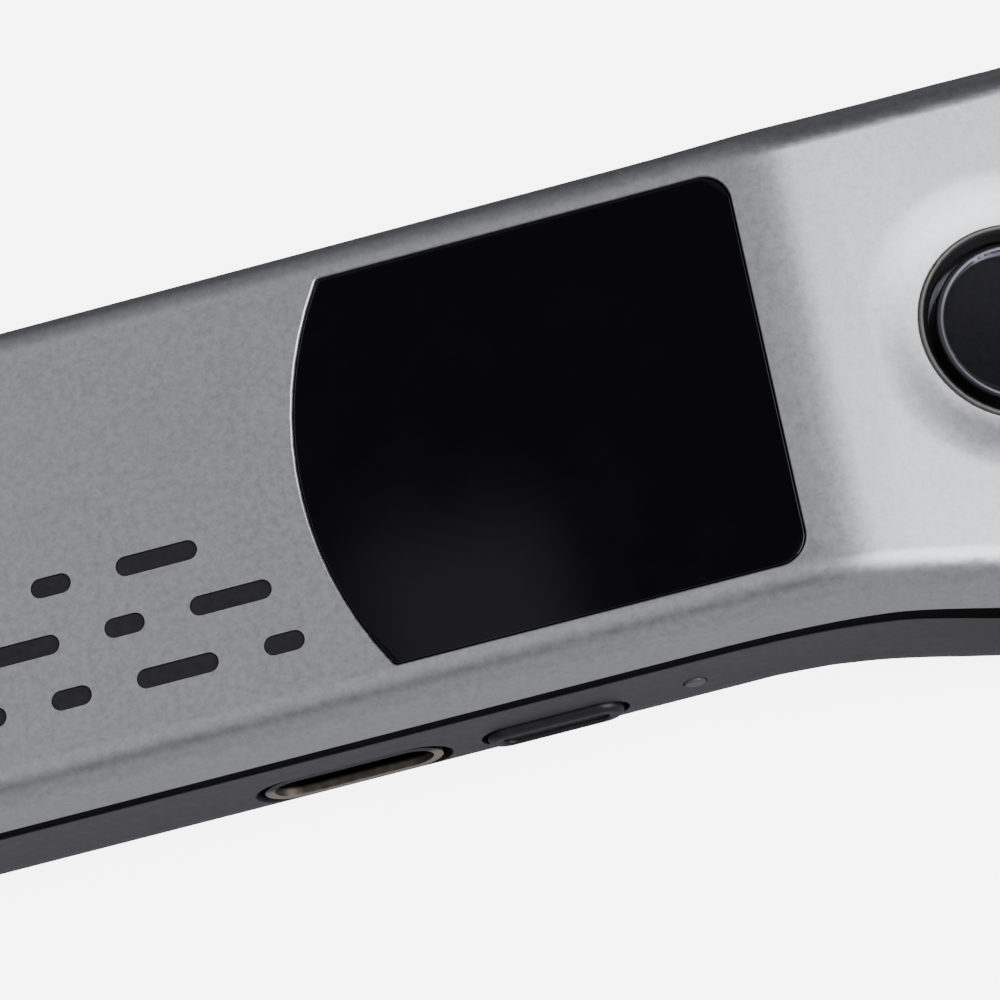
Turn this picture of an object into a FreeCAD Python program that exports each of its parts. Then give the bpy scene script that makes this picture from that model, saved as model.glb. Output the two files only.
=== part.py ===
import FreeCAD, Part
import Sketcher
import math
import os
from FreeCAD import Placement, Rotation, Vector

# Handheld voice recorder: slim handle, square display, side port and power key, and a flared head
# that slopes down from the face and carries the round record key.
# Frame: +X along the handle towards the head, +Y across, +Z out of the front face.
# The flat back lies on Z = 0.  All lengths are millimetres.

doc = FreeCAD.newDocument("VoiceRecorder")
dims = doc.addObject("Spreadsheet::Sheet", "dims")

DIMENSIONS = [
    # housing
    ("thickness", 16.1, "back plane to front face"),
    ("tail_x", -64.24, "X of the tail end"),
    ("half_width", 12.37, "half width of the handle"),
    ("tail_corner", 8.0, "plan radius of the tail corners"),
    ("flare_start", 32.0, "X where the head starts to widen"),
    ("flare_turn", 0.43, "share of the flare before it turns over"),
    ("foot_wide_x", 54.7, "X of the widest point of the foot outline"),
    ("foot_half_width", 16.3, "half width of the head at the back plane"),
    ("foot_corner", 9.0, "plan radius of the head corners at the back plane"),
    ("crown_wide_x", 53.2, "X of the widest point at face level"),
    ("crown_half_width", 12.42, "half width of the head at face level"),
    ("crown_corner", 7.5, "plan radius of the head corners at face level"),
    ("tip_angle", 20.0, "angle where the head corner meets the tip arc"),
    ("bend_x", 35.6, "X where the face starts to slope"),
    ("bend_radius", 12.0, "radius in the middle of the bend in the face"),
    ("ease_radius", 40.0, "radius where the bend begins and ends"),
    ("ease_angle", 4.0, "part of the bend, in degrees, that turns on the larger radius at each end"),
    ("slope", 20.0, "slope of the head face in degrees"),
    ("handle_round", 5.4, "round between back and sides of the handle"),
    ("head_round", 3.0, "round between back and sides of the head"),
    ("shoulder", 2.0, "round between face and sides"),
    ("wall", 1.3, "wall of the shells"),
    ("cover_wall", 1.2, "thickness of the front cover"),
    ("seam_depth", 4.1, "face to the parting line"),
    ("seam_gap", 1.3, "height of the parting line"),
    ("seam_lag", 2.0, "how much further along the parting line bends than the face"),
    ("seam_inset", 0.06, "how far the dark strip sits back in the parting line"),
    # display
    ("window_right", 37.48, "X of the straight right edge of the window"),
    ("window_left", 13.34, "X of the crown of the curved left edge"),
    ("window_half", 10.26, "half height of the window"),
    ("window_arc", 19.5, "radius of the curved left edge"),
    ("window_corner", 1.5, "radius of the two right corners"),
    ("window_nick", 0.35, "radius of the two left corners"),
    ("window_round", 0.12, "rounded edge of the cover round the window"),
    ("glass_drop", 0.16, "face to the top of the glass"),
    ("glass_thick", 0.8, "thickness of the glass"),
    ("glass_gap", 0.05, "gap between glass and cover"),
    # speaker slots
    ("slot_width", 1.03, "width of a speaker slot"),
    ("slot_long", 4.25, "length of a long slot"),
    ("slot_short", 2.1, "length of a short slot"),
    ("slot_pitch", 5.53, "pitch of the slots along a row"),
    ("row_pitch", 2.96, "distance between rows"),
    ("row_y", -1.8, "Y of the first row"),
    # side wall features
    ("side_z", 6.3, "height of the port and the power key"),
    ("port_x", 11.38, "X of the port"),
    ("port_length", 10.3, "length of the cut-out round the port"),
    ("port_height", 3.9, "height of the cut-out round the port"),
    ("shell_length", 8.94, "outside length of the port shell"),
    ("shell_height", 3.16, "outside height of the port shell"),
    ("shell_wall", 0.3, "sheet of the port shell"),
    ("lip_width", 0.18, "how far the lip round the mouth of the port stands out"),
    ("key_x", 21.95, "X of the power key"),
    ("key_length", 7.1, "length of the power key"),
    ("key_height", 2.3, "height of the power key"),
    ("key_proud", 0.35, "how far the power key stands out"),
    ("key_gap", 0.2, "clearance round the power key"),
    ("key_recess", 0.45, "depth of the recess round the power key"),
    ("key_groove", 0.2, "depth of the groove for the fingertip in the power key"),
    ("lamp_x", 29.4, "X of the status lamp"),
    ("lamp_z", 7.2, "height of the status lamp"),
    ("lamp_radius", 0.55, "radius of the light pipe"),
    ("lamp_proud", 0.12, "how far the light pipe stands out"),
    # record key
    ("button_x", 49.8, "X of the record key axis on the head face"),
    ("button_radius", 4.2, "radius of the record key"),
    ("button_gap", 0.3, "clearance round the record key"),
    ("bezel_radius", 4.85, "outside radius of the black bezel ring"),
    ("collar_radius", 5.12, "outside radius of the raised collar"),
    ("dish_radius", 8.1, "radius of the dished ring in the head face"),
    ("dish_slope", 8.0, "angle of the dished ring down to the collar, degrees"),
    ("dish_ease", 1.5, "width over which the dished ring rounds into the face"),
]
for row, (alias, value, note) in enumerate(DIMENSIONS, start=1):
    dims.set("A%d" % row, alias)
    dims.set("B%d" % row, repr(value))
    dims.setAlias("B%d" % row, alias)
    dims.set("C%d" % row, note)
next_row = len(DIMENSIONS) + 1
DERIVED = [
    ("bend_end_x", "=bend_x + ease_radius * sin(slope * 1 deg) + (bend_radius - ease_radius)"
     " * (sin((slope - ease_angle) * 1 deg) - sin(ease_angle * 1 deg))", "X where the slope becomes straight"),
    ("bend_drop", "=ease_radius * (1 - cos(slope * 1 deg)) + (bend_radius - ease_radius)"
     " * (cos(ease_angle * 1 deg) - cos((slope - ease_angle) * 1 deg))", "drop of the face over the bend"),
    ("button_z", "=thickness - bend_drop - (button_x - bend_end_x) * tan(slope * 1 deg)",
     "Z of the head face at the record key"),
]
for row, (alias, formula, note) in enumerate(DERIVED, start=next_row):
    dims.set("A%d" % row, alias)
    dims.set("B%d" % row, formula)
    dims.setAlias("B%d" % row, alias)
    dims.set("C%d" % row, note)
doc.recompute()


def dim(alias):
    return float(dims.get(alias))


FAR = 90.0
T = dim("thickness")
SLOPE = math.radians(dim("slope"))


# ---------------------------------------------------------------- helpers
def new_body(name):
    body = doc.addObject("PartDesign::Body", name)
    body.Label = name
    return body


def new_sketch(body, role, name, offset=None):
    sketch = body.newObject("Sketcher::SketchObject", name)
    plane = next(f for f in body.Origin.OriginFeatures if f.Role == role)
    sketch.AttachmentSupport = [(plane, "")]
    sketch.MapMode = "FlatFace"
    if isinstance(offset, str):
        sketch.setExpression("AttachmentOffset.Base.z", offset)
    elif offset is not None:
        sketch.AttachmentOffset = Placement(Vector(0, 0, offset), Rotation())
    return sketch


def add_loop(sketch, curves):
    """Add curves end to end as one closed loop of the sketch."""
    first = sketch.GeometryCount
    for curve in curves:
        sketch.addGeometry(curve, False)
    if len(curves) == 1:
        return
    ends = []
    for index in range(len(curves)):
        curve = curves[index]
        ends.append((sketch.getPoint(first + index, 1), sketch.getPoint(first + index, 2)))
    for index in range(len(curves)):
        other = (index + 1) % len(curves)
        pairs = [(a, b) for a in (0, 1) for b in (0, 1)
                 if ends[index][a].distanceToPoint(ends[other][b]) < 1e-6]
        a, b = pairs[0] if len(curves) > 2 else pairs[0 if index == 0 else -1]
        sketch.addConstraint(Sketcher.Constraint("Coincident", first + index, a + 1, first + other, b + 1))


def line(x0, y0, x1, y1):
    return Part.LineSegment(Vector(x0, y0, 0), Vector(x1, y1, 0))


def arc(cx, cy, radius, start, end):
    """Counter-clockwise arc between two angles in degrees."""
    circle = Part.Circle(Vector(cx, cy, 0), Vector(0, 0, 1), radius)
    return Part.ArcOfCircle(circle, math.radians(start), math.radians(end))


def slot_loop(cx, cy, length, height):
    """Rounded slot, long along the sketch's first axis."""
    r = height / 2
    a = length / 2 - r
    return [line(cx - a, cy + r, cx + a, cy + r), arc(cx + a, cy, r, -90, 90),
            line(cx + a, cy - r, cx - a, cy - r), arc(cx - a, cy, r, 90, 270)]


def box_loop(x0, y0, x1, y1):
    return [line(x0, y0, x1, y0), line(x1, y0, x1, y1), line(x1, y1, x0, y1), line(x0, y1, x0, y0)]


def pad(body, sketch, length, name):
    feature = body.newObject("PartDesign::Pad", name)
    feature.Profile = sketch
    if isinstance(length, str):
        feature.setExpression("Length", length)
    else:
        feature.Length = length
    doc.recompute()
    return feature


def pocket(body, sketch, length, name, reverse=False):
    before = body.Shape.Volume
    feature = body.newObject("PartDesign::Pocket", name)
    feature.Profile = sketch
    feature.Reversed = reverse
    if isinstance(length, str):
        feature.setExpression("Length", length)
    else:
        feature.Length = length
    doc.recompute()
    if body.Shape.Volume >= before - 1e-6:
        raise RuntimeError("pocket %s removes nothing" % name)
    return feature


def fused(name, parts):
    feature = doc.addObject("Part::MultiFuse", name)
    feature.Shapes = parts
    feature.Label = name
    doc.recompute()
    return feature


def common(name, base, tool):
    feature = doc.addObject("Part::Common", name)
    feature.Base = base
    feature.Tool = tool
    feature.Label = name
    doc.recompute()
    return feature


def cut(name, base, tool):
    feature = doc.addObject("Part::Cut", name)
    feature.Base = base
    feature.Tool = tool
    feature.Label = name
    doc.recompute()
    return feature


# ---------------------------------------------------------------- housing shapes
def head_curve(wide_x, head_half, corner, half):
    """Half of the head outline as one smooth curve, from the handle side to the middle of the tip."""
    start = dim("flare_start")
    turn = 2 * math.atan2(head_half - half, wide_x - start)
    radii = (wide_x - start) / math.sin(turn)
    hollow = radii * dim("flare_turn")
    crown = radii - hollow
    tip_deg = dim("tip_angle")
    corner_y = head_half - corner
    tip_r = corner_y / math.sin(math.radians(tip_deg)) + corner
    tip_cx = wide_x - (tip_r - corner) * math.cos(math.radians(tip_deg))
    turn_deg = math.degrees(turn)
    arcs = [(start, half + hollow, hollow, 270, 270 + turn_deg),
            (wide_x, head_half - crown, crown, 90 + turn_deg, 90),
            (wide_x, corner_y, corner, 90, tip_deg),
            (tip_cx, 0, tip_r, tip_deg, 0)]
    points = [Vector(start, half, 0)]
    for cx, cy, radius, first, last in arcs:
        for share in (0.25, 0.5, 0.75, 1.0):
            angle = math.radians(first + (last - first) * share)
            points.append(Vector(cx + radius * math.cos(angle), cy + radius * math.sin(angle), 0))
    curve = Part.BSplineCurve()
    curve.interpolate(Points=points, InitialTangent=Vector(1, 0, 0), FinalTangent=Vector(0, -1, 0))
    return curve


def outline(wide_x, head_half, corner, inset):
    """Plan outline: tail, straight sides, flared head with a gently curved tip."""
    half = dim("half_width") - inset
    tail_r = dim("tail_corner") - inset
    start = dim("flare_start")
    tail = dim("tail_x") + inset
    upper = head_curve(wide_x, head_half - inset, corner - inset, half)
    lower = Part.BSplineCurve()
    lower.buildFromPolesMultsKnots([Vector(p.x, -p.y, 0) for p in upper.getPoles()],
                                   upper.getMultiplicities(), upper.getKnots(), False, upper.Degree)
    lower.reverse()
    return [
        line(tail, tail_r - half, tail, half - tail_r),
        arc(tail + tail_r, half - tail_r, tail_r, 90, 180),
        line(tail + tail_r, half, start, half),
        upper,
        lower,
        line(start, -half, tail + tail_r, -half),
        arc(tail + tail_r, tail_r - half, tail_r, 180, 270),
    ]


def bend_arcs(lag=0.0):
    """The bend as arcs turning clockwise: centre X, centre Z, radius, and the tilt at each end in degrees."""
    gentle, tight = dim("ease_radius"), dim("bend_radius")
    arcs = []
    x, z, radius = dim("bend_x") + lag, T - gentle, gentle
    tilts = (0, dim("ease_angle"), dim("slope") - dim("ease_angle"), dim("slope"))
    for index, next_radius in enumerate((tight, gentle, gentle)):
        arcs.append((x, z, radius, tilts[index], tilts[index + 1]))
        tilt = math.radians(tilts[index + 1])
        x += (radius - next_radius) * math.sin(tilt)
        z += (radius - next_radius) * math.cos(tilt)
        radius = next_radius
    return arcs


def face_line(drop, lag=0.0):
    """Side profile of the face, lowered by drop: flat, bend (later by lag) and slope, from tail to tip."""
    arcs = bend_arcs(lag)
    z = T - drop
    x, centre_z, radius = arcs[-1][:3]
    end_x = x + (radius - drop) * math.sin(SLOPE)
    end_z = centre_z + (radius - drop) * math.cos(SLOPE)
    far_z = end_z - (FAR - end_x) * math.tan(SLOPE)
    curves = [line(-FAR, z, arcs[0][0], z)]
    curves += [arc(x, centre_z, radius - drop, 90 - last, 90 - first) for x, centre_z, radius, first, last in arcs]
    curves.append(line(end_x, end_z, FAR, far_z))
    return curves, z, far_z


def zone(name, drop, other, lag=0.0):
    """Block across the whole width, between the lowered face profile and another level or profile."""
    body = new_body(name)
    sketch = new_sketch(body, "XZ_Plane", name + "_profile", -FAR / 2)
    curves, z_tail, z_tip = face_line(drop, lag)
    if isinstance(other, tuple):
        back, back_tail, back_tip = face_line(other[0], lag)
        curves = curves + [line(FAR, z_tip, FAR, back_tip)] + back[::-1] + [line(-FAR, back_tail, -FAR, z_tail)]
    else:
        curves = curves + [line(FAR, z_tip, FAR, other), line(FAR, other, -FAR, other),
                           line(-FAR, other, -FAR, z_tail)]
    add_loop(sketch, curves)
    pad(body, sketch, FAR, name + "_pad")
    return body


def loft(name, inset, low_z, low_round, head_round):
    """Body of the recorder before the face is cut, with its back edges rounded."""
    body = new_body(name + "_plan")
    foot = new_sketch(body, "XY_Plane", name + "_foot", low_z)
    add_loop(foot, outline(dim("foot_wide_x"), dim("foot_half_width"), dim("foot_corner"), inset))
    crown = new_sketch(body, "XY_Plane", name + "_crown", T)
    add_loop(crown, outline(dim("crown_wide_x"), dim("crown_half_width"), dim("crown_corner"), inset))
    sides = doc.addObject("Part::Loft", name + "_sides")
    sides.Sections = [foot, crown]
    sides.Solid = True
    sides.Ruled = True
    doc.recompute()
    rounded = doc.addObject("Part::Fillet", name + "_rounded")
    rounded.Base = sides
    edges = []
    for number, edge in enumerate(sides.Shape.Edges, start=1):
        if edge.BoundBox.ZMax > low_z + 1e-3:
            continue
        ends = sorted(vertex.X for vertex in edge.Vertexes)
        first, last = (low_round if x < dim("flare_start") + 1 else head_round for x in ends)
        if edge.Vertexes[0].X > edge.Vertexes[-1].X:
            first, last = last, first
        edges.append((number, first, last))
    rounded.Edges = edges
    doc.recompute()
    return rounded


def prism(name, x, y, z):
    """Part::Box between limits; each limit is a number or a formula on the sheet."""
    feature = doc.addObject("Part::Box", name)
    feature.Label = name
    for axis, size, (low, high) in (("x", "Length", x), ("y", "Width", y), ("z", "Height", z)):
        feature.setExpression("Placement.Base." + axis, "(%s) * 1 mm" % low)
        feature.setExpression(size, "(%s) * 1 mm - (%s) * 1 mm" % (high, low))
    doc.recompute()
    return feature


def drum(name, radius, low, high, place):
    """Part::Cylinder along the local +Z of a placement, from low to high."""
    feature = doc.addObject("Part::Cylinder", name)
    feature.Label = name
    feature.setExpression("Radius", "(%s) * 1 mm" % radius)
    feature.Height = high - low
    feature.Placement = place.multiply(Placement(Vector(0, 0, low), Rotation()))
    doc.recompute()
    return feature


def rounded(name, base, radius, wanted):
    """Part::Fillet on the edges that the test picks."""
    feature = doc.addObject("Part::Fillet", name)
    feature.Base = base
    feature.Edges = [(n, radius, radius) for n, edge in enumerate(base.Shape.Edges, start=1) if wanted(edge)]
    feature.Label = name
    doc.recompute()
    return feature


def dress(body, kind, name, size, wanted):
    """PartDesign fillet or chamfer on the edges of the tip that the test picks."""
    base = body.Tip
    names = ["Edge%d" % n for n, edge in enumerate(base.Shape.Edges, start=1) if wanted(edge)]
    if not names:
        raise RuntimeError("no edges for " + name)
    feature = body.newObject("PartDesign::" + kind, name)
    feature.Base = (base, names)
    if kind == "Fillet":
        feature.Radius = size
    else:
        feature.Size = size
    doc.recompute()
    return feature


def body_from(name, base):
    """Design body that goes on from a finished solid."""
    body = new_body(name)
    body.BaseFeature = base
    doc.recompute()
    return body


def face_z(x):
    """Height of the front face along the recorder."""
    if x <= dim("bend_x"):
        return T
    for centre_x, centre_z, radius, _, last in bend_arcs():
        if x <= centre_x + radius * math.sin(math.radians(last)):
            return centre_z + math.sqrt(radius ** 2 - (x - centre_x) ** 2)
    return T - dim("bend_drop") - (x - dim("bend_end_x")) * math.tan(SLOPE)


def on_face_border(edge):
    """True for edges between the face and the sides, not for those that cross the face."""
    points = edge.discretize(7)
    if any(abs(p.z - face_z(p.x)) > 1e-3 for p in points):
        return False
    crosses = abs(points[0].x - points[-1].x) < 1e-3 and abs(points[0].y - points[-1].y) > dim("half_width")
    return not crosses or edge.BoundBox.XMax < dim("tail_x") + 1


# ---------------------------------------------------------------- housing
sides = loft("housing", 0.0, 0.0, dim("handle_round"), dim("head_round"))
trimmed = cut("housing_trimmed", sides, zone("above_face", 0.0, 4 * T))
housing = rounded("housing_outside", trimmed, dim("shoulder"), on_face_border)

wall = dim("wall")
inner_sides = loft("cavity", wall, wall, dim("handle_round") - wall, dim("head_round") - wall)
cavity = cut("cavity_inside", inner_sides, zone("above_ceiling", dim("cover_wall"), 4 * T))

head_place = Placement(Vector(dim("button_x"), 0, dim("button_z")), Rotation(Vector(0, 1, 0), dim("slope")))
bore = dim("collar_radius")
BOARD_LEVEL = -4.2

cover_solid = common("cover_solid", housing, zone("above_seam", dim("seam_depth"), 4 * T, dim("seam_lag")))
cover_hollow = cut("cover_hollow", cover_solid, cavity)
CEILING = T - dim("cover_wall")
CHASSIS_TOP = T - 5.3
SCREWS = [(-54.0, 7.5), (-54.0, -7.5), (-27.5, -8.6), (9.0, 9.0)]
bosses = [drum("boss_%d" % n, "1.7", CHASSIS_TOP, CEILING + 0.4, Placement(Vector(x, y, 0), Rotation()))
          for n, (x, y) in enumerate(SCREWS, start=1)]
key_boss = drum("key_boss", "8.6", BOARD_LEVEL, -0.6, head_place)
cover_bossed = fused("cover_bossed", [cover_hollow, key_boss] + bosses)


def revolved(name, curves, place):
    """Turned solid about its own Z axis from a half section in the XZ plane."""
    body = new_body(name)
    sketch = new_sketch(body, "XZ_Plane", name + "_section")
    add_loop(sketch, curves)
    feature = body.newObject("PartDesign::Revolution", name + "_turned")
    feature.Profile = sketch
    feature.ReferenceAxis = (sketch, ["V_Axis"])
    feature.Angle = 360
    doc.recompute()
    body.Placement = place
    doc.recompute()
    return body


def polyline(points):
    closed = points + points[:1]
    return [line(a[0], a[1], b[0], b[1]) for a, b in zip(closed, closed[1:])]


# dished ring round the collar: floor, straight slope, crown arc, then level with the face
rim, floor_r = dim("dish_radius"), bore + 0.1
dish_slope = math.radians(dim("dish_slope"))
ease = dim("dish_ease")
crown_radius = ease / math.sin(dish_slope)
crown_drop = crown_radius * (1 - math.cos(dish_slope))
depth = crown_drop + (rim - ease - floor_r) * math.tan(dish_slope)
dish = revolved("dish", [
    line(0, 3, 0, -depth), line(0, -depth, floor_r, -depth), line(floor_r, -depth, rim - ease, -crown_drop),
    arc(rim, -crown_radius, crown_radius, 90, 90 + dim("dish_slope")),
    line(rim, 0, rim, 3), line(rim, 3, 0, 3)], head_place)
key_bore = drum("key_bore", "dims.collar_radius", -9.0, 3.0, head_place)
tools = [dish, key_bore]
tools += [drum("boss_bore_%d" % n, "0.8", CHASSIS_TOP - 0.5, CEILING - 0.3, Placement(Vector(x, y, 0), Rotation()))
          for n, (x, y) in enumerate(SCREWS, start=1)]
MIC_X, MIC_Y = 5.0, 10.4
mic_places = {side: head_place.multiply(Placement(Vector(MIC_X, sign * MIC_Y, 0), Rotation()))
              for side, sign in (("left", 1), ("right", -1))}
tools += [drum("mic_port_" + side, "0.5", -3.0, 1.0, place) for side, place in mic_places.items()]
cover_cut = cut("cover_cut", cover_bossed, fused("cover_tools", tools))


def window_curves(inset):
    """Display window: straight top, bottom and right edge, bulging left edge."""
    right = dim("window_right") - inset
    half = dim("window_half") - inset
    radius = dim("window_arc") - inset
    corner = dim("window_corner") - inset
    centre = dim("window_left") + dim("window_arc")
    reach = math.degrees(math.asin(half / radius))
    left = centre - math.sqrt(radius ** 2 - half ** 2)
    return [
        arc(centre, 0, radius, 180 - reach, 180 + reach),
        line(left, -half, right - corner, -half),
        arc(right - corner, corner - half, corner, -90, 0),
        line(right, corner - half, right, half - corner),
        arc(right - corner, half - corner, corner, 0, 90),
        line(right - corner, half, left, half),
    ]


front_cover = body_from("front_cover", cover_cut)
window = new_sketch(front_cover, "XY_Plane", "window", "dims.thickness * 1 mm + 1 mm")
add_loop(window, window_curves(0.0))
pocket(front_cover, window, "dims.cover_wall * 1 mm + 2 mm", "window_opening")


def left_corners(half):
    """Picks the two upright edges where the curved left edge of the window meets its straight edges."""
    return lambda e: (e.BoundBox.ZLength > 0.5 and e.BoundBox.XLength < 0.01
                      and e.BoundBox.XMax < dim("window_left") + 4 and abs(abs(e.BoundBox.YMax) - half) < 0.01)


def around_window(low_z):
    """Picks the edges round the window that lie above a height."""
    reach = dim("window_half") + 0.1
    return lambda e: (e.BoundBox.ZMin > low_z and e.BoundBox.XMin > dim("window_left") - 0.1
                      and e.BoundBox.XMax < dim("window_right") + 0.1 and e.BoundBox.YMax < reach
                      and e.BoundBox.YMin > -reach)


dress(front_cover, "Fillet", "window_left_corners", dim("window_nick"), left_corners(dim("window_half")))
dress(front_cover, "Fillet", "window_edge", dim("window_round"), around_window(T - 0.1))

# three staggered rows of long and short slots, counted from the display end
long_slot, short_slot, pitch = dim("slot_long"), dim("slot_short"), dim("slot_pitch")
ROWS = [(5.55, "LSLSLS"), (8.85, "LSLSLS"), (11.05, "SLSLSL")]


def add_slots(sketch, play):
    """Every speaker slot, made smaller all round by the play."""
    for row, (first_x, order) in enumerate(ROWS):
        for place, size in enumerate(order):
            length = long_slot if size == "L" else short_slot
            add_loop(sketch, slot_loop(first_x - place * pitch, dim("row_y") - row * dim("row_pitch"),
                                       length - 2 * play, dim("slot_width") - 2 * play))


slots = new_sketch(front_cover, "XY_Plane", "slots", "dims.thickness * 1 mm + 1 mm")
add_slots(slots, 0.0)
pocket(front_cover, slots, "dims.cover_wall * 1 mm + 2 mm", "speaker_slots")

# back shell with the port, key and lamp openings in its -Y wall
below = zone("below_seam", dim("seam_depth") + dim("seam_gap"), -2 * T, dim("seam_lag"))
shell_solid = common("shell_solid", housing, below)
back_shell = body_from("back_shell", cut("shell_hollow", shell_solid, cavity))
OUTSIDE = "dims.half_width * 1 mm + 1 mm"
side_z = dim("side_z")
port = new_sketch(back_shell, "XZ_Plane", "port_cutout", OUTSIDE)
add_loop(port, slot_loop(dim("port_x"), side_z, dim("port_length"), dim("port_height")))
pocket(back_shell, port, 3.4, "port_opening")
gap = dim("key_gap")
key_recess = new_sketch(back_shell, "XZ_Plane", "key_recess_shape", OUTSIDE)
add_loop(key_recess, slot_loop(dim("key_x"), side_z, dim("key_length") + 0.6, dim("key_height") + 0.6))
pocket(back_shell, key_recess, "dims.key_recess * 1 mm + 1 mm", "key_recess")
key_hole = new_sketch(back_shell, "XZ_Plane", "key_hole_shape", OUTSIDE)
add_loop(key_hole, slot_loop(dim("key_x"), side_z, dim("key_length") + 2 * gap, dim("key_height") + 2 * gap))
pocket(back_shell, key_hole, 3.4, "key_hole")
lamp_hole = new_sketch(back_shell, "XZ_Plane", "lamp_hole_shape", OUTSIDE)
lamp_hole.addGeometry(Part.Circle(Vector(dim("lamp_x"), dim("lamp_z"), 0), Vector(0, 0, 1),
                                  dim("lamp_radius") + 0.07), False)
pocket(back_shell, lamp_hole, 3.4, "lamp_hole")

# dark strip set back in the parting line
inset = dim("seam_inset")
strip_sides = loft("strip", inset, inset, dim("handle_round") - inset, dim("head_round") - inset)
band = zone("seam_band", dim("seam_depth"), (dim("seam_depth") + dim("seam_gap"),), dim("seam_lag"))
strip_band = common("strip_band", strip_sides, band)
seam_gasket = cut("seam_gasket", strip_band, cavity)


# ---------------------------------------------------------------- display
def sheet(name, curves, low, high, hole=None):
    """Flat piece cut to a plan outline between two heights."""
    body = new_body(name)
    sketch = new_sketch(body, "XY_Plane", name + "_shape", low)
    add_loop(sketch, curves)
    if hole:
        add_loop(sketch, hole)
    pad(body, sketch, high - low, name + "_pad")
    return body


glass_top = T - dim("glass_drop")
glass_low = glass_top - dim("glass_thick")
screen_glass = sheet("screen_glass", window_curves(dim("glass_gap")), glass_low, glass_top)
dress(screen_glass, "Fillet", "glass_left_corners", dim("window_nick"),
      left_corners(dim("window_half") - dim("glass_gap")))
dress(screen_glass, "Fillet", "glass_edge", 0.08, lambda e: e.BoundBox.ZMin > glass_top - 1e-3)
FRAME_TOP = T - 1.3
FRAME_LOW = T - 3.8
panel = (15.4, -8.7, 36.0, 8.7)
glass_tape = sheet("glass_tape", window_curves(0.3), FRAME_TOP, glass_low, hole=box_loop(*panel))
display_frame = sheet("display_frame", box_loop(12.7, -10.85, 38.0, 10.85), FRAME_LOW, FRAME_TOP)
tray = new_sketch(display_frame, "XY_Plane", "tray_shape", FRAME_TOP)
add_loop(tray, box_loop(15.2, -8.9, 36.2, 8.9))
pocket(display_frame, tray, 1.7, "tray")
display_panel = sheet("display_panel", box_loop(*panel), FRAME_TOP - 1.7, FRAME_TOP - 0.1)


def strip(name, points, low_y, high_y):
    """Thin bent strip: its path in the XZ plane, drawn as a closed band, across part of the width."""
    body = new_body(name)
    sketch = new_sketch(body, "XZ_Plane", name + "_path", -high_y)
    add_loop(sketch, polyline(points))
    pad(body, sketch, high_y - low_y, name + "_pad")
    return body


BOARD_TOP = side_z - dim("shell_height") / 2
FLEX = 0.15
display_flex = strip("display_flex", [
    (29, FRAME_LOW), (35.3, FRAME_LOW), (35.3, BOARD_TOP), (31, BOARD_TOP), (31, BOARD_TOP + FLEX),
    (35.3 - FLEX, BOARD_TOP + FLEX), (35.3 - FLEX, FRAME_LOW - FLEX), (29, FRAME_LOW - FLEX)], -4.0, 4.0)

# ---------------------------------------------------------------- speaker
SPEAKER_X, SPEAKER_Y = -3.0, dim("row_y") - dim("row_pitch")
SPEAKER_TOP = CEILING - 0.6
speaker_grille = sheet("speaker_grille", box_loop(-24.5, SPEAKER_Y - 4.2, 12.5, SPEAKER_Y + 4.4),
                       CEILING - 0.3, CEILING)
fillers = new_sketch(speaker_grille, "XY_Plane", "slot_fillers", CEILING)
add_slots(fillers, 0.04)
pad(speaker_grille, fillers, dim("cover_wall") - 0.1, "slot_fillers_pad")
speaker_gasket = sheet("speaker_gasket", slot_loop(SPEAKER_X, SPEAKER_Y, 20.0, 10.4), SPEAKER_TOP, CEILING - 0.3,
                       hole=slot_loop(SPEAKER_X, SPEAKER_Y, 17.6, 8.4))
speaker_frame = sheet("speaker_frame", slot_loop(SPEAKER_X, SPEAKER_Y, 20.0, 10.4), CHASSIS_TOP, SPEAKER_TOP)
bowl = new_sketch(speaker_frame, "XY_Plane", "bowl_shape", SPEAKER_TOP)
add_loop(bowl, slot_loop(SPEAKER_X, SPEAKER_Y, 17.6, 8.4))
pocket(speaker_frame, bowl, 1.4, "bowl")
well = new_sketch(speaker_frame, "XY_Plane", "well_shape", CHASSIS_TOP)
add_loop(well, box_loop(SPEAKER_X - 5.2, SPEAKER_Y - 3.2, SPEAKER_X + 5.2, SPEAKER_Y + 3.2))
pocket(speaker_frame, well, 1.6, "well", reverse=True)
CONE_TOP = SPEAKER_TOP - 0.7
speaker_cone = sheet("speaker_cone", slot_loop(SPEAKER_X, SPEAKER_Y, 17.0, 7.8), SPEAKER_TOP - 1.4, CONE_TOP)
dress(speaker_cone, "Fillet", "cone_edge", 0.5, lambda e: e.BoundBox.ZMin > CONE_TOP - 0.01)
speaker_magnet = prism("speaker_magnet", (SPEAKER_X - 5.0, SPEAKER_X + 5.0), (SPEAKER_Y - 3.0, SPEAKER_Y + 3.0),
                       (CHASSIS_TOP, CHASSIS_TOP + 1.55))

# ---------------------------------------------------------------- board, port, key, lamp
main_board = prism("main_board", (-10, 36), (-10, 10), (BOARD_TOP - 0.8, BOARD_TOP))
shield_can = prism("shield_can", (-8, 12), (-2.5, 9.5), (BOARD_TOP, BOARD_TOP + 1.8))


def side_block(name, curves, near, far):
    """Piece with its outline in the XZ plane, from Y = -near (outer end) to Y = -far."""
    body = new_body(name)
    sketch = new_sketch(body, "XZ_Plane", name + "_shape", far)
    add_loop(sketch, curves)
    pad(body, sketch, near - far, name + "_pad")
    return body


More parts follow.
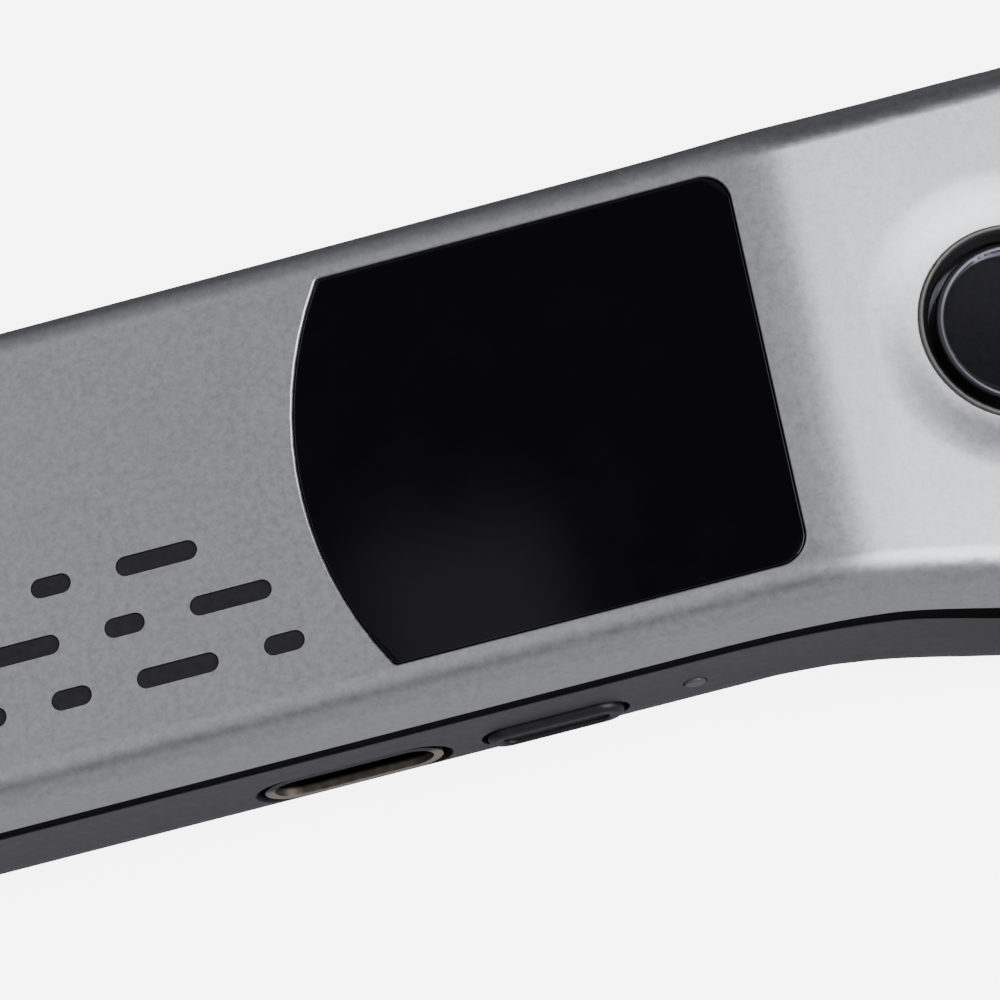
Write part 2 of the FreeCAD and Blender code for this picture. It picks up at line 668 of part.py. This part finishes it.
half_width = dim("half_width")
mouth = half_width - 0.05
usb_shell = side_block("usb_shell", slot_loop(dim("port_x"), side_z, dim("shell_length"), dim("shell_height")),
                       mouth, 5.0)
lip = new_sketch(usb_shell, "XZ_Plane", "port_lip_shape", mouth - 0.5)
add_loop(lip, slot_loop(dim("port_x"), side_z, dim("shell_length") + 2 * dim("lip_width"),
                        dim("shell_height") + 2 * dim("lip_width")))
pad(usb_shell, lip, 0.5, "port_lip")
inner = new_sketch(usb_shell, "XZ_Plane", "usb_mouth_shape", mouth)
sheet_metal = 2 * dim("shell_wall")
add_loop(inner, slot_loop(dim("port_x"), side_z, dim("shell_length") - sheet_metal,
                          dim("shell_height") - sheet_metal))
pocket(usb_shell, inner, mouth - 5.4, "usb_mouth")
usb_tongue = prism("usb_tongue", ("dims.port_x - 3.35", "dims.port_x + 3.35"), (-half_width + 1.0, -5.4),
                   ("dims.side_z - 0.35", "dims.side_z + 0.35"))
FLANGE = half_width - wall - 0.2
key_face = half_width + dim("key_proud")
power_button = side_block("power_button", slot_loop(dim("key_x"), side_z, dim("key_length"), dim("key_height")),
                          key_face, FLANGE)
flange = new_sketch(power_button, "XZ_Plane", "key_flange_shape", FLANGE - 0.4)
add_loop(flange, slot_loop(dim("key_x"), side_z, dim("key_length") + 1.0, dim("key_height") + 1.0))
pad(power_button, flange, 0.4, "key_flange")
groove = new_sketch(power_button, "XZ_Plane", "key_groove_shape", key_face)
add_loop(groove, slot_loop(dim("key_x"), side_z, dim("key_length") - 1.6, dim("key_height") - 1.1))
pocket(power_button, groove, "dims.key_groove * 1 mm", "key_groove")


def on_key_face(outer):
    """Picks the outline of the power key's face, or the outline of the groove in it."""
    return lambda e: (e.BoundBox.YMax < -key_face + 1e-3
                      and (e.BoundBox.ZMax - side_z > 1.0 or side_z - e.BoundBox.ZMin > 1.0) == outer)


dress(power_button, "Fillet", "key_edge", 0.35, on_key_face(True))
dress(power_button, "Fillet", "groove_edge", 0.15, on_key_face(False))
SWITCH_FACE = -FLANGE + 1.0
switch_case = prism("switch_case", ("dims.key_x - 1.9", "dims.key_x + 1.9"), (SWITCH_FACE, SWITCH_FACE + 2.0),
                    (BOARD_TOP, "dims.side_z + 1.2"))
switch_tip = prism("switch_tip", ("dims.key_x - 0.8", "dims.key_x + 0.8"), (SWITCH_FACE - 0.2, SWITCH_FACE),
                   ("dims.side_z - 0.5", "dims.side_z + 0.5"))
power_switch = fused("power_switch", [switch_case, switch_tip])
lamp_x, lamp_z = dim("lamp_x"), dim("lamp_z")
toward_wall = Placement(Vector(lamp_x, 0, lamp_z), Rotation(Vector(1, 0, 0), 90))
lens_end = half_width + dim("lamp_proud")
pipe_run = rounded("pipe_lens", drum("pipe_run", "dims.lamp_radius", 9.4, lens_end, toward_wall), 0.15,
                   lambda e: e.BoundBox.YMax < 1e-3 - lens_end)
pipe_foot = drum("pipe_foot", "dims.lamp_radius", BOARD_TOP + 0.7, lamp_z,
                 Placement(Vector(lamp_x, -9.4, 0), Rotation()))
led_light_pipe = fused("led_light_pipe", [pipe_run, pipe_foot])
led_chip = prism("led_chip", (lamp_x - 0.8, lamp_x + 0.8), (-9.8, -9.0), (BOARD_TOP, BOARD_TOP + 0.6))

# ---------------------------------------------------------------- battery and chassis
cell = prism("cell_block", (-60, -12), (-9.2, 9.2), (2.2, 8.4))
battery_cell = rounded("battery_cell", cell, 1.0, lambda e: True)
battery_pad = prism("battery_pad", (-57, -15), (-7, 7), (wall, 2.2))
plate = prism("chassis_plate", (-57, 34), (-10.4, 10.4), (CHASSIS_TOP - 1.2, CHASSIS_TOP))
seats = []
screws = []
for n, (x, y) in enumerate(SCREWS, start=1):
    spot = Placement(Vector(x, y, 0), Rotation())
    low = CHASSIS_TOP - 1.2
    seats.append(drum("screw_hole_%d" % n, "0.85", low - 1, CHASSIS_TOP + 1, spot))
    seats.append(drum("screw_seat_%d" % n, "1.4", low - 1, low + 0.6, spot))
    screws.append(drum("screw_head_%d" % n, "1.3", low, low + 0.6, spot))
    screws.append(drum("screw_shank_%d" % n, "0.75", low + 0.6, CEILING - 0.8, spot))
chassis = cut("chassis", plate, fused("screw_seats", seats))
chassis_screws = fused("chassis_screws", screws)

# ---------------------------------------------------------------- record key in the head
inner_r = dim("bezel_radius")
crest_r = (bore - inner_r) / 2
button_collar = revolved("button_collar", [
    line(inner_r, -2.0, bore, -2.0), line(bore, -2.0, bore, -0.1 - crest_r),
    arc(bore - crest_r, -0.1 - crest_r, crest_r, 0, 180), line(inner_r, -0.1 - crest_r, inner_r, -2.0)], head_place)
key_r = dim("button_radius")
clear_r = key_r + dim("button_gap")
button_bezel = revolved("button_bezel", polyline([
    (clear_r, -2.0), (inner_r, -2.0), (inner_r, -0.7), (clear_r, -0.85)]), head_place)
edge_r = 0.25
edge_turn = math.radians(140)
rim_z = -0.2
bowl_r = key_r - edge_r * (1 - math.cos(edge_turn))
bowl_z = rim_z - edge_r * (1 - math.sin(edge_turn))
bowl_depth = 0.5
bowl_radius = (bowl_r ** 2 + bowl_depth ** 2) / (2 * bowl_depth)
bowl_angle = math.degrees(math.asin(bowl_r / bowl_radius))
record_button = revolved("record_button", [
    arc(0, bowl_z - bowl_depth + bowl_radius, bowl_radius, 270, 270 + bowl_angle),
    arc(key_r - edge_r, rim_z - edge_r, edge_r, 0, 140),
    line(key_r, rim_z - edge_r, key_r, -2.3), line(key_r, -2.3, 5.0, -2.3), line(5.0, -2.3, 5.0, -2.8),
    line(5.0, -2.8, 1.2, -2.8), line(1.2, -2.8, 1.2, -3.4), line(1.2, -3.4, 0, -3.4),
    line(0, -3.4, 0, bowl_z - bowl_depth)], head_place)
dome_switch = drum("dome_switch", "2.6", BOARD_LEVEL, -3.85, head_place)
button_board = drum("button_board", "8.6", BOARD_LEVEL - 0.8, BOARD_LEVEL, head_place)
mics = {}
mic_meshes = {}
ceiling = -dim("cover_wall")
for side, place in mic_places.items():
    mic_meshes[side] = drum("mic_mesh_" + side, "1.1", ceiling - 0.15, ceiling, place)
    mics[side] = doc.addObject("Part::Box", "mic_" + side)
    mics[side].Label = "mic_" + side
    mics[side].Length, mics[side].Width, mics[side].Height = 3.5, 2.6, 1.1
    mics[side].Placement = place.multiply(Placement(Vector(-1.75, -1.3, ceiling - 1.25), Rotation()))
under = head_place.multVec(Vector(-7.0, 0, BOARD_LEVEL - 0.8))
across = head_place.multVec(Vector(-2.0, 0, BOARD_LEVEL - 0.8))
head_flex = strip("head_flex", [
    (32, BOARD_TOP), (37, BOARD_TOP), (under.x, under.z - 2 * FLEX), (across.x, across.z - FLEX),
    (across.x, across.z), (under.x, under.z), (37 - FLEX, BOARD_TOP + FLEX), (32, BOARD_TOP + FLEX)], 5.0, 9.0)
doc.recompute()

# ---------------------------------------------------------------- export
NODES = [
    front_cover, back_shell, seam_gasket, screen_glass, glass_tape, display_frame, display_panel, display_flex,
    speaker_grille, speaker_gasket, speaker_frame, speaker_cone, speaker_magnet, main_board, shield_can,
    usb_shell, usb_tongue, power_button, power_switch, led_light_pipe, led_chip, battery_cell, battery_pad,
    chassis, chassis_screws, button_collar, button_bezel, record_button, dome_switch, button_board, head_flex,
    mics["left"], mics["right"], mic_meshes["left"], mic_meshes["right"],
]
for item in doc.Objects:
    if "Invalid" in item.State or "Error" in item.State:
        raise RuntimeError("%s did not recompute: %s" % (item.Name, item.State))
for node in NODES:
    if node.Shape.isNull() or not node.Shape.isValid() or node.Shape.Volume <= 0:
        raise RuntimeError("%s has a bad shape" % node.Label)
os.makedirs("parts", exist_ok=True)
for node in NODES:
    node.Shape.exportStep("parts/%s.step" % node.Label)
    print(node.Label, round(node.Shape.Volume, 2), len(node.Shape.Solids))
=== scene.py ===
import math

import bpy
from mathutils import Matrix, Vector


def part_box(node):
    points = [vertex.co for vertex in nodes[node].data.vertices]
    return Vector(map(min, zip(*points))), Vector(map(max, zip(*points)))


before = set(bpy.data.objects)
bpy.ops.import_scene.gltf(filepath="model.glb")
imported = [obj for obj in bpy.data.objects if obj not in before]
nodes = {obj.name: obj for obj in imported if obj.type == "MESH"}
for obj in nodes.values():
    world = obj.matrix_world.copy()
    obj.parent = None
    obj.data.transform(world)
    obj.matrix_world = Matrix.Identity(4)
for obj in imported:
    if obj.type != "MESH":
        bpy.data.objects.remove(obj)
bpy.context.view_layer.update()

MM = 0.001
SLOPE = math.radians(20.0)         # the head face falls away by this much
PORT_LEVEL = 6.3 * MM              # middle height of the port
PORT_MOUTH = -12.32 * MM           # y of the port's front edge
RIM_RADIUS = 3.57 * MM             # where the record key's dish ends and its rim begins
SMOOTH_LIMIT = math.radians(30.0)  # edges sharper than this stay crisp
JOIN_GAP = 0.001 * MM              # points closer than this are one point
WHITE = (1.0, 1.0, 1.0, 1.0)


# ------------------------------------------------------------------ shader helpers
class Shader:
    """Small helper that builds one procedural material in object space (metres)."""

    def __init__(self, name):
        self.mat = bpy.data.materials.new(name)
        self.mat.use_nodes = True
        self.tree = self.mat.node_tree
        self.tree.nodes.clear()
        self.out = self.tree.nodes.new("ShaderNodeOutputMaterial")
        self.bsdf = self.tree.nodes.new("ShaderNodeBsdfPrincipled")
        self.tree.links.new(self.bsdf.outputs[0], self.out.inputs[0])
        self.coord = self.tree.nodes.new("ShaderNodeTexCoord").outputs["Object"]

    def node(self, kind, **inputs):
        new = self.tree.nodes.new("ShaderNode" + kind)
        for key, value in inputs.items():
            self.put(new.inputs[key.replace("_", " ")], value)
        return new

    def put(self, socket, value):
        if isinstance(value, bpy.types.NodeSocket):
            self.tree.links.new(value, socket)
        else:
            socket.default_value = value

    def set(self, **values):
        for key, value in values.items():
            self.put(self.bsdf.inputs[key.replace("_", " ")], value)
        return self

    def noise(self, scale, detail, rough):
        tex = self.node("TexNoise", Scale=scale, Detail=detail, Roughness=rough)
        self.put(tex.inputs["Vector"], self.coord)
        return tex.outputs["Fac"]

    def ramp(self, fac, low, high, a=0.0, b=1.0):
        new = self.node("MapRange")
        self.put(new.inputs["Value"], fac)
        for key, value in (("From Min", low), ("From Max", high), ("To Min", a), ("To Max", b)):
            self.put(new.inputs[key], value)
        return new.outputs["Result"]

    def mix(self, fac, a, b):
        new = self.tree.nodes.new("ShaderNodeMix")
        new.data_type = "RGBA"
        self.put(new.inputs["Factor"], fac)
        self.put(new.inputs["A"], a)
        self.put(new.inputs["B"], b)
        return new.outputs["Result"]

    def math(self, operation, a, b=0.0):
        new = self.tree.nodes.new("ShaderNodeMath")
        new.operation = operation
        self.put(new.inputs[0], a)
        self.put(new.inputs[1], b)
        return new.outputs[0]

    def vector(self, operation, *values):
        new = self.tree.nodes.new("ShaderNodeVectorMath")
        new.operation = operation
        for socket, value in zip(new.inputs, values):
            self.put(socket, value)
        return new

    def bump(self, height, strength, distance, normal=None):
        new = self.node("Bump", Strength=strength, Distance=distance, Height=height)
        if normal:
            self.put(new.inputs["Normal"], normal)
        return new.outputs["Normal"]


def paint(node, mat):
    """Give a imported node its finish."""
    data = nodes[node].data
    data.materials.clear()
    data.materials.append(mat)


def grey(value, blue=1.0):
    """Grey colour, with its blue scaled for a cooler tone."""
    return (value, value, value * blue, 1.0)


# ------------------------------------------------------------------ finishes
def silver_paint():
    """Satin silver lacquer: fine metal flake, soft mottling and slightly rubbed patches."""
    s = Shader("silver_cover")
    flake = s.noise(7000.0, 2.0, 0.7)
    mottle = s.noise(2600.0, 3.0, 0.6)
    cloud = s.noise(260.0, 2.0, 0.5)
    tone = s.mix(s.ramp(mottle, 0.35, 0.65), (0.382, 0.387, 0.418, 1), (0.463, 0.469, 0.503, 1))
    tone = s.mix(s.ramp(flake, 0.40, 0.70, 0.0, 0.45), tone, (0.53, 0.535, 0.56, 1))
    rubbed = s.ramp(cloud, 0.3, 0.7, 0.325, 0.35)
    rough = s.math("ADD", rubbed, s.ramp(mottle, 0.35, 0.65, 0.0, 0.03))
    s.set(Base_Color=tone, Metallic=0.94, Roughness=rough)
    s.set(Normal=s.bump(mottle, 0.20, 0.00002, s.bump(flake, 0.15, 0.00001)))
    return s.mat


def dark_paint(name, shade):
    """Dark slate satin plastic with a fine moulded grain; shade scales its lightness."""
    s = Shader(name)
    grain = s.noise(6500.0, 2.0, 0.6)
    mottle = s.noise(1900.0, 3.0, 0.55)
    low, high = (tuple(level * shade for level in colour) + (1.0,)
                 for colour in ((0.048, 0.0455, 0.062), (0.060, 0.0565, 0.076)))
    s.set(Base_Color=s.mix(s.ramp(mottle, 0.3, 0.7), low, high), Metallic=0.25,
          Roughness=s.ramp(mottle, 0.3, 0.7, 0.38, 0.46))
    s.set(Normal=s.bump(grain, 0.14, 0.00002))
    return s.mat


def plain(name, a, b, rough, metallic=0.0, scale=1500.0, bump=0.1, gloss=0.5):
    """A mottled finish between two colours, with matching changes of roughness and a fine grain."""
    s = Shader(name)
    cloud = s.noise(scale, 4.0, 0.55)
    s.set(Base_Color=s.mix(s.ramp(cloud, 0.3, 0.7), a, b), Metallic=metallic,
          Roughness=s.ramp(cloud, 0.3, 0.7, rough * 0.9, rough * 1.1), Specular_IOR_Level=gloss)
    if bump:
        s.set(Normal=s.bump(cloud, bump, 0.00002))
    return s.mat


def key_black():
    """Black record key: near-black dished top, with a polished rim that is a little metallic."""
    s = Shader("key_black")
    low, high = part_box("record_button")
    centre = (Vector(low) + Vector(high)) / 2
    axis = Vector((math.sin(SLOPE), 0.0, math.cos(SLOPE)))
    offset = s.vector("SUBTRACT", s.coord, centre).outputs["Vector"]
    across = s.vector("CROSS_PRODUCT", offset, axis).outputs["Vector"]
    radius = s.vector("LENGTH", across).outputs["Value"]
    rim = s.ramp(radius, RIM_RADIUS - 0.05 * MM, RIM_RADIUS + 0.05 * MM)
    cloud = s.noise(2500.0, 3.0, 0.5)
    tone = s.mix(s.ramp(cloud, 0.3, 0.7), (0.0085, 0.0085, 0.011, 1), (0.0115, 0.0115, 0.0145, 1))
    s.set(Base_Color=s.mix(rim, tone, (0.080, 0.080, 0.095, 1)),
          Metallic=s.math("MULTIPLY", rim, 0.9),
          Roughness=s.ramp(cloud, 0.3, 0.7, 0.33, 0.38), Specular_IOR_Level=0.02)
    s.set(Normal=s.bump(cloud, 0.05, 0.00001))
    return s.mat


def port_steel():
    """Port sleeve: warm steel on the lower half of its mouth, dark on the upper half and inside.

    The dark part is paint that imitates the shadow seen in the photo.
    """
    s = Shader("port_metal")
    place = s.node("SeparateXYZ", Vector=s.coord)
    cloud = s.noise(2500.0, 4.0, 0.55)
    tone = s.mix(s.ramp(cloud, 0.3, 0.7), (0.30, 0.26, 0.22, 1), (0.44, 0.39, 0.34, 1))
    low = s.ramp(place.outputs["Z"], PORT_LEVEL + 0.8 * MM, PORT_LEVEL + 0.2 * MM)
    mouth = s.ramp(place.outputs["Y"], PORT_MOUTH + 0.45 * MM, PORT_MOUTH + 0.28 * MM)
    s.set(Base_Color=s.mix(s.math("MULTIPLY", low, mouth), (0.012, 0.011, 0.011, 1), tone),
          Metallic=1.0, Roughness=s.ramp(cloud, 0.3, 0.7, 0.36, 0.42))
    s.set(Normal=s.bump(cloud, 0.1, 0.00002))
    return s.mat


silver = silver_paint()
dark = dark_paint("dark_shell", 0.68)
key_plastic = dark_paint("key_plastic", 0.28)
glass = plain("display_glass", (0.0020, 0.0018, 0.0034, 1), (0.0027, 0.0025, 0.0044, 1), 0.05,
              bump=0.0, scale=300.0, gloss=0.42)
rubber = plain("black_rubber", grey(0.002), grey(0.004), 0.8, gloss=0.05)
gloss_black = plain("black_plastic", grey(0.004), grey(0.007, 1.3), 0.35, bump=0.03, gloss=0.03)
key_top = key_black()
inner_plastic = plain("inner_plastic", grey(0.03), grey(0.045), 0.55)
slot_black = plain("slot_black", (0.010, 0.0095, 0.014, 1), (0.016, 0.015, 0.021, 1), 0.6,
                   scale=2200.0, gloss=0.2)
cloth = plain("cloth", grey(0.02, 1.2), grey(0.035, 1.2), 0.8, scale=9000.0, bump=0.6)
steel = plain("steel", (0.42, 0.38, 0.33, 1), (0.55, 0.50, 0.44, 1), 0.3,
              metallic=1.0, scale=2500.0)
port_metal = port_steel()
trim = plain("trim_metal", (0.100, 0.098, 0.094, 1), (0.150, 0.147, 0.141, 1), 0.55,
             metallic=0.6, scale=4000.0)
board = plain("board", (0.01, 0.06, 0.03, 1), (0.015, 0.09, 0.045, 1), 0.35)
wrap = plain("battery_wrap", (0.05, 0.06, 0.09, 1), (0.07, 0.08, 0.12, 1), 0.3)
clear = plain("clear_plastic", grey(0.070, 1.1), grey(0.100, 1.1), 0.35)
film = plain("flex_film", (0.25, 0.1, 0.02, 1), (0.35, 0.15, 0.03, 1), 0.3)
foam = plain("foam", grey(0.012), grey(0.02), 0.9, bump=0.5)

FINISH = {
    "front_cover": silver, "back_shell": dark, "seam_gasket": rubber, "screen_glass": glass,
    "glass_tape": foam, "display_frame": inner_plastic, "display_panel": glass,
    "display_flex": film,
    "speaker_grille": slot_black, "speaker_gasket": foam, "speaker_frame": inner_plastic,
    "speaker_cone": cloth, "speaker_magnet": steel, "main_board": board, "shield_can": steel,
    "usb_shell": port_metal, "usb_tongue": gloss_black, "power_button": key_plastic,
    "power_switch": gloss_black,
    "led_light_pipe": clear, "led_chip": clear, "battery_cell": wrap, "battery_pad": foam,
    "chassis": inner_plastic, "chassis_screws": steel, "button_collar": trim,
    "button_bezel": gloss_black, "record_button": key_top, "dome_switch": steel,
    "button_board": board, "head_flex": film, "mic_left": trim, "mic_right": trim,
    "mic_mesh_left": cloth, "mic_mesh_right": cloth,
}
for name, mat in FINISH.items():
    paint(name, mat)


# ------------------------------------------------------------------ shading across the CAD faces
def soft_normals(limit):
    """Modifier group: shades the CAD faces as one skin, except across edges over the limit."""
    group = bpy.data.node_groups.new("soft_normals", "GeometryNodeTree")
    for way in ("INPUT", "OUTPUT"):
        group.interface.new_socket("Geometry", in_out=way, socket_type="NodeSocketGeometry")

    def add(kind, domain=None, **values):
        new = group.nodes.new(kind)
        if domain:
            new.domain = domain
        for key, value in values.items():
            new.inputs[key.replace("_", " ")].default_value = value
        return new

    angle = add("GeometryNodeInputMeshEdgeAngle")
    sharp = add("FunctionNodeCompare", B=limit)
    sharp.operation = "GREATER_THAN"
    chain = [
        add("NodeGroupInput"),
        add("GeometryNodeMergeByDistance", Distance=JOIN_GAP),
        add("GeometryNodeRemoveAttribute", Name="custom_normal"),
        add("GeometryNodeSetShadeSmooth", "FACE"),
        add("GeometryNodeSetShadeSmooth", "EDGE"),
        add("GeometryNodeSetShadeSmooth", "EDGE", Shade_Smooth=False),
        add("NodeGroupOutput"),
    ]
    for before, after in zip(chain, chain[1:]):
        group.links.new(before.outputs[0], after.inputs[0])
    group.links.new(angle.outputs["Unsigned Angle"], sharp.inputs["A"])
    group.links.new(sharp.outputs["Result"], chain[-2].inputs["Selection"])
    return group


skin = soft_normals(SMOOTH_LIMIT)
for name in FINISH:
    nodes[name].modifiers.new("skin", "NODES").node_group = skin
    weighted = nodes[name].modifiers.new("weighted", "WEIGHTED_NORMAL")
    weighted.keep_sharp = True


# ------------------------------------------------------------------ stage
# This is not an even studio. The glows, flags and pane were tuned to the tones of the photo from
# its one viewpoint, so other views show a different light. The camera also sees the floor and the
# sky much brighter than the object mirrors them, which gives a near-white backdrop.
# Each glow or flag is a direction, the angles of its edge and core in degrees, and an amount.
AMBIENT = 0.10
GLOWS = [
    ((-0.45, 0.10, 0.88), 45.0, 10.0, 0.54),   # the face and the handle
    ((-0.35, 0.80, 0.50), 45.0, 15.0, 0.36),   # the far shoulder of the handle
    ((0.70, -0.05, 0.71), 32.0, 22.0, 7.0),    # the sloping head
    ((0.20, -0.85, 0.45), 30.0, 10.0, 0.28),   # the near skirt
    ((-0.25, -0.95, 0.22), 34.0, 10.0, 0.32),  # the near skirt, lower down
]
FLAGS = [
    ((-0.145, 0.31, 0.94), 9.0, 3.5, 0.94),    # keeps the display black
    ((0.45, 0.85, 0.25), 50.0, 20.0, 0.80),    # the far shoulder of the head
    ((0.70, 0.54, 0.46), 30.0, 12.0, 0.96),    # one side of the dished ring
]
BACKDROP = 7.0
FLOOR_GLOW = 6.0
FLOOR_SIZE = 3.0
FLOOR_LIGHT_TO = -10 * MM   # up to this y the object mirrors a mid-grey floor
FLOOR_DARK_FROM = 30 * MM   # beyond this y it mirrors a dark one
PANE_LEVEL = 0.42
# Each side of the pane is an axis of the ray, and where the light begins and is full.
PANE_SIDES = [
    ("X", -0.1422, -0.1436),
    ("X", -0.173, -0.164),
    ("Y", 0.304, 0.292),
    ("Z", 0.90, 0.92),
]


def floor_paint():
    """Pale glowing board to the camera; where the object mirrors it, painted shade, mid-grey to
    dark by y.
    """
    s = Shader("floor")
    depth = s.node("SeparateXYZ", Vector=s.coord).outputs["Y"]
    # painted shade: the floor the object mirrors is mid-grey, darkening with y, in place of the
    # shadow around the object
    tone = s.mix(s.ramp(depth, FLOOR_LIGHT_TO, FLOOR_DARK_FROM),
                 (0.46, 0.46, 0.475, 1), (0.07, 0.07, 0.072, 1))
    s.set(Base_Color=tone, Roughness=0.9, Specular_IOR_Level=0.1)
    seen = s.node("BsdfPrincipled")
    for key, value in (("Base Color", (0.9, 0.9, 0.905, 1)), ("Roughness", 0.9),
                       ("Specular IOR Level", 0.1), ("Emission Color", WHITE),
                       ("Emission Strength", FLOOR_GLOW)):
        seen.inputs[key].default_value = value
    pick = s.node("MixShader")
    s.put(pick.inputs[0], s.node("LightPath").outputs["Is Camera Ray"])
    s.put(pick.inputs[1], s.bsdf.outputs[0])
    s.put(pick.inputs[2], seen.outputs[0])
    s.put(s.out.inputs[0], pick.outputs[0])
    return s.mat


bpy.ops.mesh.primitive_plane_add(size=FLOOR_SIZE, location=(0, 0, 0))
floor = bpy.context.object
floor.name = "floor"
floor.data.materials.append(floor_paint())

world = bpy.data.worlds.new("studio")
bpy.context.scene.world = world
world.use_nodes = True


def sky():
    """Dim room with soft glows, dark flags and a pane in reflections; even white to the camera."""
    tree = world.node_tree
    background = tree.nodes["Background"]
    ray = tree.nodes.new("ShaderNodeTexCoord").outputs["Generated"]

    def join(value, socket):
        if isinstance(value, bpy.types.NodeSocket):
            tree.links.new(value, socket)
        else:
            socket.default_value = value

    def calc(operation, a, b=0.0):
        new = tree.nodes.new("ShaderNodeMath")
        new.operation = operation
        join(a, new.inputs[0])
        join(b, new.inputs[1])
        return new.outputs[0]

    def glow(direction, edge, core, amount):
        """Rises smoothly from nothing at the edge angle (degrees) to the amount at the core."""
        dot = tree.nodes.new("ShaderNodeVectorMath")
        dot.operation = "DOT_PRODUCT"
        join(ray, dot.inputs[0])
        dot.inputs[1].default_value = Vector(direction).normalized()
        rise = tree.nodes.new("ShaderNodeMapRange")
        rise.interpolation_type = "SMOOTHSTEP"
        join(dot.outputs["Value"], rise.inputs["Value"])
        rise.inputs["From Min"].default_value = math.cos(math.radians(edge))
        rise.inputs["From Max"].default_value = math.cos(math.radians(core))
        rise.inputs["To Max"].default_value = amount
        return rise.outputs["Result"]

    def pane():
        """Small patch of light inside the display's flag: one crisp side, the others fading out."""
        split = tree.nodes.new("ShaderNodeSeparateXYZ")
        join(ray, split.inputs[0])
        level = PANE_LEVEL
        for axis, outside, inside in PANE_SIDES:
            fade = tree.nodes.new("ShaderNodeMapRange")
            fade.interpolation_type = "SMOOTHSTEP"
            join(split.outputs[axis], fade.inputs["Value"])
            fade.inputs["From Min"].default_value = outside
            fade.inputs["From Max"].default_value = inside
            level = calc("MULTIPLY", fade.outputs["Result"], level)
        return level

    total = AMBIENT
    for direction, edge, core, amount in GLOWS:
        total = calc("ADD", total, glow(direction, edge, core, amount))
    for direction, edge, core, amount in FLAGS:
        left = calc("SUBTRACT", 1.0, glow(direction, edge, core, amount))
        total = calc("MULTIPLY", total, left)
    total = calc("ADD", total, pane())
    seen = tree.nodes.new("ShaderNodeLightPath").outputs["Is Camera Ray"]
    mirrored = calc("MULTIPLY", total, calc("SUBTRACT", 1.0, seen))
    total = calc("ADD", mirrored, calc("MULTIPLY", seen, BACKDROP))
    join(total, background.inputs["Strength"])
    background.inputs["Color"].default_value = WHITE


sky()

# ------------------------------------------------------------------ camera
ROLL = 14.65              # turn of the picture, in degrees
SENSOR = 36.0             # millimetres
DISTANCE = 380 * MM       # camera to the aim point
PIXELS_PER_MM = 20.3      # at the aim point, in a picture 1000 pixels wide
FRAME_WIDTH = MM * 1000 / PIXELS_PER_MM
VIEW_X, VIEW_Y = 0.148, -0.30  # unit vector from the aim point to the camera, without its z

view = Vector((VIEW_X, VIEW_Y, 0.0))
view.z = math.sqrt(1 - view.length_squared)
along = Vector((1, 0, 0))
along = (along - view * along.dot(view)).normalized()
across = view.cross(along)
roll = math.radians(ROLL)
right = along * math.cos(roll) - across * math.sin(roll)
up = along * math.sin(roll) + across * math.cos(roll)
aim = Vector((23.06, -3.4, 16.1)) * MM
camera_data = bpy.data.cameras.new("camera")
camera_data.sensor_width = SENSOR
camera_data.lens = SENSOR * DISTANCE / FRAME_WIDTH
camera_data.clip_start = 0.01
camera = bpy.data.objects.new("camera", camera_data)
bpy.context.collection.objects.link(camera)
basis = Matrix((right, up, view)).transposed().to_4x4()
basis.translation = aim + view * DISTANCE
camera.matrix_world = basis
bpy.context.scene.camera = camera
